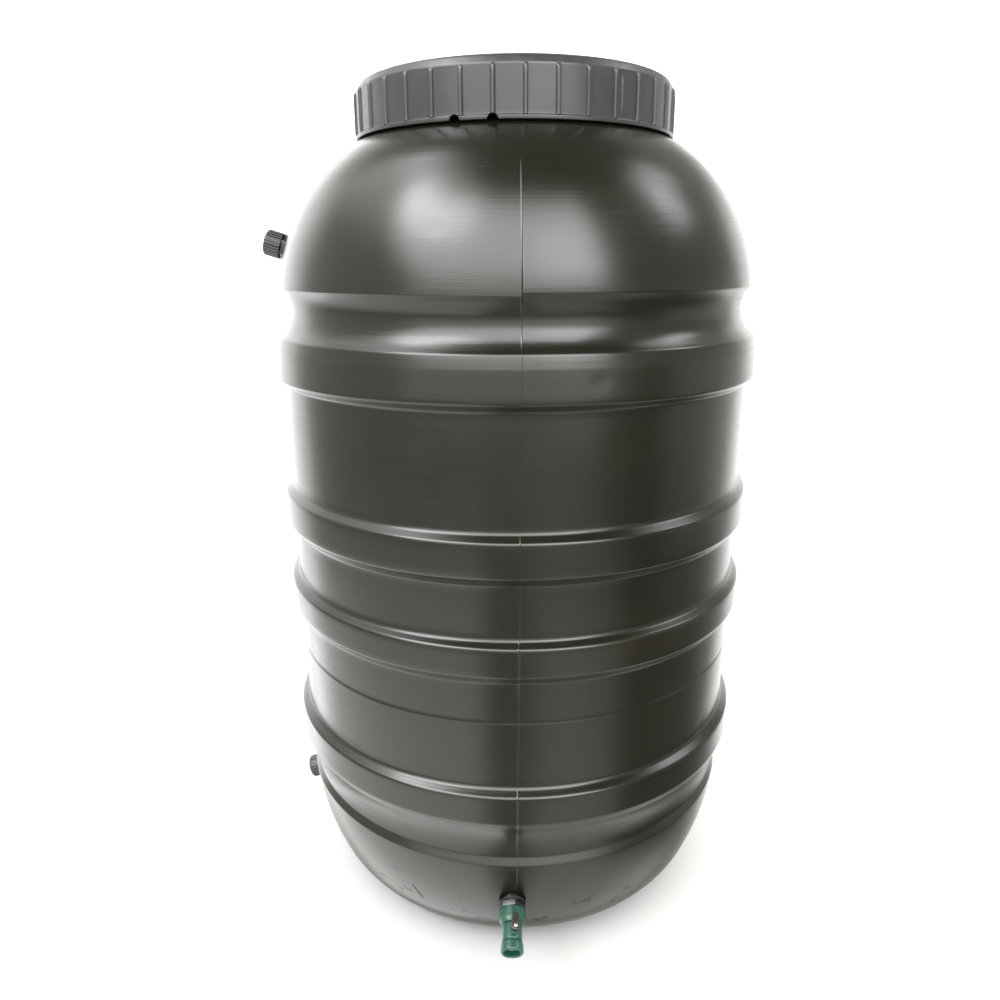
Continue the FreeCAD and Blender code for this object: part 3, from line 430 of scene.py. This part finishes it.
def barrel_shape(r, z, a):
    """The outside's waviness, mould seams and dents."""
    outside = np.arange(r.shape[0])[:, None] < outside_rows
    lift = ramp(z, 12, 30) * ramp(z, 948, -20) * outside
    r = r - lift * (WAVINESS + WAVINESS * wavy(a, z, 4))
    for seam, seed in zip(SEAMS, (1, 2)):
        off = np.abs(a - seam) * SEAM_RADIUS
        ridge = np.clip(1 - off / SEAM_HALF_WIDTH, 0, 1) ** 0.8
        height = SEAM_RISE + 0.2 * ramp(z, 650, 90)
        height = height + 0.07 * np.sin(z / 31.0 + seed) + 0.04 * np.sin(z / 7.3)
        for spot in SEAM_SPOTS:
            height = height + SPOT_RISE * np.exp(-((z - spot) / 3.5) ** 2)
        fade = ramp(z, 20, 30) * ramp(z, 906, -5) * outside
        r = r + ridge * height * fade
        side = np.sign(a - seam) * (off < STEP_REACH) * np.clip(1 - off / STEP_REACH, 0, 1)
        r = r - STEP_DEPTH * np.maximum(side, 0) * lift
        # the mould halves meet a little out of line at the shoulder's crease
        crease = np.exp(-((z - CREASE[1]) / 16.0) ** 2) * np.exp(-off / 190.0)
        z = z - CREASE_SHIFT * crease * (a < seam) * outside
    for turn, high, wide, tall, depth in DENTS:
        off = (a - math.radians(turn)) * DENT_RADIUS / wide
        r = r - depth * np.exp(-off ** 2 - ((z - high) / tall) ** 2) * outside
    # the seam leans a little towards the foot
    return r, z, a - SEAM_LEAN * ramp(z, 760, -760)


# the lid's thread has a lead of 24 mm, and two starts
LEAD = 24.0
parts = [turned(line, angles, barrel_shape, closed=False)]
tooth = rounded([(171.6, 955.4, 0), (175.0, 956.75, 0.6), (175.0, 959.25, 0.6),
                 (171.6, 960.6, 0)], 3)
for start in (0.0, math.pi):
    parts.append(helix_ridge(tooth, LEAD, height=24.0, start=start, steps=96, taper=0.25))
finish(new_piece("barrel", *joined(parts)), "barrel_plastic", "barrel", "barrel_shell")


# ------------------------------------------------------------------ lid ring
def bumps(count, phase, radius, offsets, filler):
    """Angles with extra columns at each rib, so that its sides are crisp."""
    out = []
    pitch = 2 * math.pi / count
    edge = max(offsets) / radius
    for k in range(count):
        middle = phase + k * pitch
        out += [middle + o / radius for o in offsets]
        out += [middle - o / radius for o in offsets if o > 0]
        out += list(np.linspace(middle + edge, middle + pitch - edge, filler + 2)[1:-1])
    return np.array(sorted(out))


def rib_height(a, phase, count, radius, half, soft):
    """1 on a rib, falling to 0 at its sides."""
    pitch = 2 * math.pi / count
    off = np.abs((a - phase + pitch / 2) % pitch - pitch / 2) * radius
    return np.sqrt(ramp(off, half, -soft))


def wrapped(a):
    """An angle brought between half a turn either way."""
    return (a + math.pi) % (2 * math.pi) - math.pi


RING_SIDE, RING_LIMIT = 183.9, 186.3
SKIRT_RADIUS, SKIRT_FOOT = 185.7, 943.1
RING_TOP, RING_TOP_INSIDE = 1002.6, 999.5
# the grip ribs: how many, the first one's azimuth, radius, half width, soft side, rise and ends
RING_RIBS, RIB_PHASE, RIB_RADIUS = 36, math.radians(-90 - 6.1), 184.0
RIB_HALF_WIDTH, RIB_SOFT, RIB_RISE, RIB_LOW, RIB_HIGH = 2.5, 1.3, 2.35, 947.3, 992.7
# the smooth pad and the two notches in the skirt
PAD, PAD_HALF_WIDTH, PAD_RISE = math.radians(-90 + 39.6), 10.1, 0.9
PAD_LOW, PAD_HIGH = 953.5, 988.6
NOTCHES, NOTCH_RADIUS = (math.radians(-90 - 6.1), math.radians(-90 - 18.2)), 5.8
ring_outer = [(181.9, SKIRT_FOOT, 0.5), (SKIRT_RADIUS, SKIRT_FOOT, 1.0),
              (SKIRT_RADIUS, 946.8, 1.0), (RING_SIDE, 948.0, 0.8), (RING_SIDE, 952, 0),
              (RING_SIDE, 988.4, 0), (RING_SIDE, 990.2, 0), (RING_SIDE, 991.6, 0),
              (RING_SIDE, 992.4, 0), (183.7, 993.6, 1.8), (179.7, 1000.4, 4),
              (175.8, RING_TOP, 2.5), (150.3, RING_TOP, 1.2)]
ring_inner = [(150.3, RING_TOP_INSIDE, 0.8), (176.0, RING_TOP_INSIDE, 2), (178.4, 996.4, 2),
              (178.4, 947.0, 0)]
ring_line = spaced(rounded(ring_outer + ring_inner), 7.0)

# columns at the ribs, the notches and the pad's sides, without any that nearly coincide
columns = list(bumps(RING_RIBS, RIB_PHASE, RIB_RADIUS, (0, 1.0, 1.7, 2.2, 2.5, 2.8), 3))
for middle in NOTCHES:
    columns += list(middle + np.linspace(-6.6, 6.6, 17) / SKIRT_RADIUS)
columns += [PAD + s * w / RIB_RADIUS for s in (-1, 1) for w in (9.4, 9.9, 10.3)]
ring_angles = np.array(sorted(set(np.round(wrapped(np.array(columns)), 5))))
ring_angles = ring_angles[np.insert(np.diff(ring_angles) > 0.0007, 0, True)]


def ring_shape(r, z, a):
    """The outside's ribs, its smooth pad and waviness, and the two arched notches at its foot."""
    outside = r > 183.0
    tall = ramp(z, RIB_HIGH, -3.0) ** 0.5 * (z > RIB_LOW)
    rib = rib_height(a, RIB_PHASE, RING_RIBS, RIB_RADIUS, RIB_HALF_WIDTH, RIB_SOFT) * tall
    lift = RIB_RISE * rib * outside
    off = np.abs(wrapped(a - PAD)) * RIB_RADIUS
    pad = ramp(off, PAD_HALF_WIDTH, -0.6) * (z > PAD_LOW) * ramp(z, PAD_HIGH, -1.4)
    lift = np.maximum(lift, PAD_RISE * pad * outside * (rib < 0.2))
    lift = lift + 0.10 * wavy(a, z, 9) * outside * (z > 950)
    r = np.where(outside, np.minimum(r + lift, RING_LIMIT), r)
    for middle in NOTCHES:
        side = wrapped(a - middle) * SKIRT_RADIUS
        arch = SKIRT_FOOT + np.sqrt(np.clip(NOTCH_RADIUS ** 2 - side ** 2, 0, None)) * 0.98
        z = np.where((z < arch) & (r > 178.0), arch, z)
    return r, z, a


parts = [turned(ring_line, ring_angles, ring_shape)]
tooth = rounded([(178.8, 957.0, 0), (173.1, 959.0, 0.6), (173.1, 961.2, 0.6),
                 (178.8, 963.2, 0)], 3)
for start in (-math.pi / 2, math.pi / 2):
    parts.append(helix_ridge(tooth, LEAD, height=20.0, start=start, steps=80, taper=0.25))
finish(new_piece("lid_ring_grips", *joined(parts)), "lid_plastic", "lid_ring", "lid_ring")


# ------------------------------------------------------------------ fittings, caps and valve
def joint(name):
    return [j for j in frame["joints"] if j["name"] == name][0]


def port_frame(turn, along, up=None):
    """The port's own frame, from the joint that lies so far along its axis."""
    out = Vector(joint(turn)["axis"]).normalized()
    side = Vector((0, 1, 0)) if up is None else Vector(up).normalized()
    cross = side.cross(out)
    base = Vector(joint(turn)["pos_m"]) - out * along * MM
    frame_of = Matrix((cross, side, out)).transposed().to_4x4()
    return Matrix.Translation(base) @ frame_of


# each joint's distance from its port's face, and the ball's from the valve's
NUT_ALONG, CAP_ALONG, BALL_ALONG = 17, 19, 34.5
VALVE = port_frame("nut_turn", NUT_ALONG, joint("lever_turn")["axis"])
SPIGOT = VALVE @ Matrix.Rotation(math.radians(12), 4, "Z")
UPPER = port_frame("upper_cap_turn", CAP_ALONG)
LOWER = port_frame("lower_cap_turn", CAP_ALONG)
HEX_FLATS, HEX_CORNER = 27.0, 1.0


def hex_outline(angle):
    """A hexagon with rounded corners, as points round Z."""
    pts = []
    reach = HEX_FLATS / math.sqrt(3) - HEX_CORNER / math.cos(math.pi / 6)
    for k in range(6):
        a = math.radians(60 * k + angle)
        middle = np.array([math.cos(a), math.sin(a)]) * reach
        for t in np.linspace(-30, 30, 4):
            b = a + math.radians(t)
            pts.append(middle + HEX_CORNER * np.array([math.cos(b), math.sin(b)]))
    return np.array(pts)


def slab(points, levels):
    """A solid of one outline drawn in by each level's (inset, height), closed at both ends."""
    points = np.array(points)
    ahead, behind = np.roll(points, -1, 0) - points, points - np.roll(points, 1, 0)
    normal = np.stack([ahead[:, 1] + behind[:, 1], -(ahead[:, 0] + behind[:, 0])], 1)
    normal /= np.linalg.norm(normal, axis=1)[:, None]
    count = len(points)
    verts = []
    for inset, height in levels:
        verts += [(x, y, height) for x, y in points - normal * inset]
    faces = grid_faces(len(levels), count)
    faces.append(tuple(range(count))[::-1])
    faces.append(tuple(range((len(levels) - 1) * count, len(levels) * count)))
    return verts, faces


def turned_part(corners, count=48):
    """Verts and faces of a closed outline of (radius, height, fillet) turned round Z."""
    angles = np.linspace(0, 2 * math.pi, count + 1)[:-1]
    return turned(spaced(rounded(corners), 4.0), angles)


HOSE_LEAD = 2.209


def hose_thread(root, crest, start, length):
    """The ridge of a garden hose's thread, of 11.5 turns to the inch."""
    section = [(root, start - 0.85), (crest, start - 0.2), (crest, start + 0.2),
               (root, start + 0.85)]
    return helix_ridge(section, HOSE_LEAD, length, start=0.0, steps=140, taper=0.12)


def fitting(name, place, node, angle, collar, end, thread, thread_length):
    """Bulkhead fitting: flange, hexagonal collar, threaded hose end and hollow shank."""
    shell = [(8.0, -22.0, 0.5), (13.2, -22.0, 0.8), (13.2, 1.5, 0), (15.2, 1.5, 0.3),
             (15.2, 2.1, 0.2), (12.1, 2.1, 0), (12.1, end - 0.7, 0), (11.4, end, 0.3),
             (8.0, end, 0.3)]
    levels = [(0.4, 2.1), (0, 2.5), (0, collar - 0.9), (0.25, collar - 0.35), (0.9, collar)]
    verts, faces = joined([turned_part(shell), slab(hex_outline(angle), levels),
                           hose_thread(11.9, 13.3, thread, thread_length)])
    finish(new_piece(name, verts, faces, place), "fitting_plastic", "barrel", node)


fitting("front_fitting", SPIGOT, "spigot_fitting", 17.0, 9.0, 17.0, 10.6, 4.4)
fitting("upper_fitting", UPPER, "upper_port_fitting", 0.0, 7.5, 24.0, 12.6, 8.8)
fitting("lower_fitting", LOWER, "lower_port_fitting", 0.0, 7.5, 24.0, 12.6, 8.8)


def ribbed(name, place, corners, rib, beyond, slot, body, node):
    """A turned piece with grip ribs beyond a radius: rib is (count, radius, half width, height,
    low z, high z)."""
    count, radius, half, height, low, high = rib
    angles = bumps(count, 0.0, radius, (0, half * 0.55, half * 0.8, half, half * 1.1), 1)

    def shape(r, z, a):
        rise = rib_height(a, 0.0, count, radius, half * 1.05, half * 0.6)
        ends = np.sqrt(ramp(z, low, 0.8) * ramp(z, high, -1.0))
        return r + height * rise * ends * (r > beyond), z, a

    verts, faces = turned(spaced(rounded(corners), 2.5), angles, shape)
    finish(new_piece(name, verts, faces, place), slot, body, node)


cap_line = [(0.02, 26.9, 0), (13.9, 26.9, 0.5), (13.9, 8.3, 0.4), (14.3, 7.9, 0.3),
            (15.1, 7.9, 0.5), (15.1, 12, 0), (15.1, 27.0, 0.8), (14.4, 28.3, 0.8),
            (13.2, 28.6, 0.8), (12.6, 28.3, 0.5), (0.02, 28.2, 0)]
for name, place in (("upper", UPPER), ("lower", LOWER)):
    ribbed(name + "_hose_cap", place, cap_line, (24, 15.1, 1.3, 0.55, 8.0, 27.6), 14.6,
           "cap_plastic", name + "_cap", name + "_port_cap")

nut_line = [(13.9, 9.6, 0.3), (14.2, 9.4, 0.2), (14.9, 9.4, 0.5), (14.9, 12, 0),
            (14.9, 21.5, 1.5), (12.6, 25.7, 1.2), (11.5, 26.0, 0.4), (10.0, 26.0, 0.3),
            (10.0, 21.7, 0.2), (12.6, 21.7, 0.2), (12.6, 17.4, 0.2), (13.9, 17.4, 0.2)]
ribbed("green_swivel_nut", SPIGOT, nut_line, (12, 14.9, 1.9, 0.55, 9.6, 22.8), 14.4,
       "valve_plastic", "valve_nut", "valve_swivel_nut")

tube = [(5.4, 19.3, 0.3), (12.2, 19.3, 0.4), (12.2, 21.3, 0.4), (9.6, 21.3, 0.3),
        (9.6, 26.4, 0.2), (11.6, 26.4, 0.9), (11.6, 43.3, 0.3), (11.2, 44.0, 0.1),
        (9.05, 44.0, 0), (9.05, 27.9, 0.2), (5.4, 27.9, 0.2)]
verts, faces = turned_part(tube, 64)
finish(new_piece("green_valve_tube", verts, faces, VALVE), "valve_plastic", "valve", "valve_body")

outlet = [(5.4, 41.1, 0.3), (9.0, 41.1, 0.3), (9.0, 44.0, 0), (11.2, 44.0, 0.1),
          (11.6, 44.7, 0.3), (11.6, 45.4, 1.0), (12.9, 47.2, 1.0), (12.95, 55.2, 1.3),
          (12.0, 56.4, 1.0), (10.2, 56.4, 0.6), (9.6, 55.7, 0.4), (9.6, 49.0, 2),
          (5.4, 44.8, 2)]
verts, faces = turned_part(outlet, 64)
finish(new_piece("green_valve_outlet", verts, faces, VALVE),
       "valve_plastic", "valve", "valve_outlet")

# lever: drawn round its stem, which stands on the valve's upper side
AT_BALL = (VALVE @ Matrix.Translation((0, 0, BALL_ALONG * MM))
           @ Matrix.Rotation(-math.pi / 2, 4, "X"))


def arm_outline():
    """The lever's arm from above: a round end about the stem and a narrower one away from it."""
    pts = [(5.2 * math.cos(t), 5.2 * math.sin(t)) for t in np.linspace(math.pi, 2 * math.pi, 17)]
    pts += [(4.2 * math.cos(t), 9.9 + 4.2 * math.sin(t)) for t in np.linspace(0, math.pi, 15)]
    return pts


arm_levels = [(0.9, 16.2), (0.25, 16.4), (0, 16.9), (0, 19.9), (0.3, 20.8), (1.0, 21.3),
              (2.1, 21.4)]
hub = [(2.5, 14.8, 0), (4.6, 14.8, 0.3), (4.6, 17.0, 0), (2.5, 17.0, 0)]
verts, faces = joined([slab(arm_outline(), arm_levels), turned_part(hub, 40)])
finish(new_piece("dark_lever", verts, faces, AT_BALL),
       "lever_plastic", "valve_lever", "valve_lever")

boss = [(2.6, 10.0, 0), (6.0, 10.0, 0), (6.0, 14.3, 0.7), (4.3, 14.4, 0.2), (4.3, 11.9, 0.2),
        (2.6, 11.9, 0)]
verts, faces = turned_part(boss, 40)
finish(new_piece("green_valve_boss", verts, faces, AT_BALL), "valve_plastic", "valve")

# ------------------------------------------------------------------ stage, light and camera
FLOOR_HALF = 30
corners = [(-FLOOR_HALF, -FLOOR_HALF, 0), (FLOOR_HALF, -FLOOR_HALF, 0),
           (FLOOR_HALF, FLOOR_HALF, 0), (-FLOOR_HALF, FLOOR_HALF, 0)]
floor_mesh = bpy.data.meshes.new("floor")
floor_mesh.from_pydata(corners, [], [(0, 1, 2, 3)])
floor = bpy.data.objects.new("floor", floor_mesh)
bpy.context.scene.collection.objects.link(floor)
floor_mat, tree, shader = new_material("floor_pale")
shader.inputs["Roughness"].default_value = 0.9
shade = spread(tree, noise(tree, (1.2, 1.2, 1.2), detail=1), 0.3, 0.7)
link(tree, mixed(tree, shade, (0.84, 0.84, 0.84), (0.87, 0.87, 0.87)), shader.inputs["Base Color"])
floor.data.materials.append(floor_mat)
floor.visible_glossy = False

world = bpy.data.worlds.new("studio")
bpy.context.scene.world = world
world.use_nodes = True
tree = world.node_tree
where = tree.nodes.new("ShaderNodeTexCoord")
split = tree.nodes.new("ShaderNodeSeparateXYZ")
link(tree, where.outputs["Generated"], split.inputs["Vector"])
azimuth = sums(tree, "ARCTAN2", split.outputs["X"],
               sums(tree, "MULTIPLY", split.outputs["Y"], -1.0))
height = sums(tree, "ARCSINE", split.outputs["Z"])
slanted = sums(tree, "ADD", azimuth, height)


def step(value, low, high, rising):
    """A smooth step between two angles in degrees."""
    node = tree.nodes.new("ShaderNodeMapRange")
    node.interpolation_type = "SMOOTHSTEP"
    node.inputs["From Min"].default_value = math.radians(low)
    node.inputs["From Max"].default_value = math.radians(high)
    node.inputs["To Min"].default_value = 0.0 if rising else 1.0
    node.inputs["To Max"].default_value = 1.0 if rising else 0.0
    link(tree, value, node.inputs["Value"])
    return node.outputs["Result"]


def softbox(glow, left, right, low, high, edge=5, across=azimuth):
    """A soft-edged bright patch between two directions around the object and two heights, in
    degrees; None leaves a side open."""
    total = glow
    for value, bound, rising in ((across, left, True), (azimuth, right, False),
                                 (height, low, True), (height, high, False)):
        if bound is not None:
            total = sums(tree, "MULTIPLY", step(value, bound - edge, bound + edge, rising), total)
    return total


# each patch's strength, left and right directions, low and high heights and soft edge
softboxes = [
    softbox(2.05, None, -118, -38, 30, 12),
    softbox(1.7, 130, None, -38, 18, 9),
    softbox(7.4, -28, 43, 16, 57, 5, slanted),
    softbox(9.0, -26, -25, 38, 60, 8, slanted),
    softbox(3.2, 12, 43, 16, 44, 6),
    softbox(5.0, -125, -56, 56, 70, 8),
    softbox(2.4, -125, -68, 38, 58, 12),
    softbox(1.9, -50, 43, -8, 14, 7),
    softbox(0.6, None, -50, -10, 42, 12),
    softbox(6.8, 91, 106, 30, 43, 5),
    softbox(4.2, 92, 121, 40, 52, 5),
    softbox(1.85, -135, -15, None, -22, 7),
    softbox(1.0, 10, 54, None, -22, 8),
    softbox(1.0, 50, 122, None, -50, 8),
    softbox(0.3, None, 37, None, 64, 8),
    softbox(0.55, 74, 125, -18, 3, 8),
    softbox(0.4, 46, None, 0, 50, 8),
    softbox(0.6, 16, 55, -9, 12, 7),
    softbox(0.3, 112, None, None, 0, 8),
]
# the room's own strength in reflections, and the even one that lights everything else
FILL, EVEN_LIGHT = 0.23, 2.0
total = FILL
for one in softboxes:
    total = sums(tree, "ADD", one, total)
rays = tree.nodes.new("ShaderNodeLightPath")
background = tree.nodes["Background"]
warmth = mixed(tree, spread(tree, total, 0.8, 4.0), (1.0, 0.99, 0.94), (0.985, 1.0, 1.0))
link(tree, warmth, background.inputs["Color"])
glow = tree.nodes.new("ShaderNodeMix")
link(tree, rays.outputs["Is Glossy Ray"], glow.inputs["Factor"])
glow.inputs["A"].default_value = EVEN_LIGHT
link(tree, total, glow.inputs["B"])
link(tree, glow.outputs["Result"], background.inputs["Strength"])

KEY_PLACE, KEY_AIM = Vector((-1.6, -1.3, 2.2)), Vector((0, 0, 0.4))
key_data = bpy.data.lights.new("key", "AREA")
key_data.shape = "RECTANGLE"
key_data.size = 1.6
key_data.size_y = 0.25
key_data.energy = 14
key = bpy.data.objects.new("key", key_data)
key.location = KEY_PLACE
key.rotation_euler = (KEY_AIM - KEY_PLACE).to_track_quat("-Z", "Y").to_euler()
bpy.context.scene.collection.objects.link(key)
key.visible_glossy = False

CAMERA_PLACE = (-0.01885, -1.04721, 0.81125)
LOOK_DOWN, ROLL, SWING = math.radians(90 - 16.48), math.radians(-0.294), math.radians(1.4)
camera_data = bpy.data.cameras.new("camera")
camera_data.sensor_width = 36
camera_data.lens = 29.21
camera_data.clip_start = 0.01
camera = bpy.data.objects.new("camera", camera_data)
tilt = Matrix.Rotation(LOOK_DOWN, 4, "X") @ Matrix.Rotation(ROLL, 4, "Z")
camera.matrix_world = Matrix.Rotation(SWING, 4, "Z") @ Matrix.Translation(CAMERA_PLACE) @ tilt
bpy.context.scene.collection.objects.link(camera)
bpy.context.scene.camera = camera
bpy.context.scene.view_settings.view_transform = "Standard"
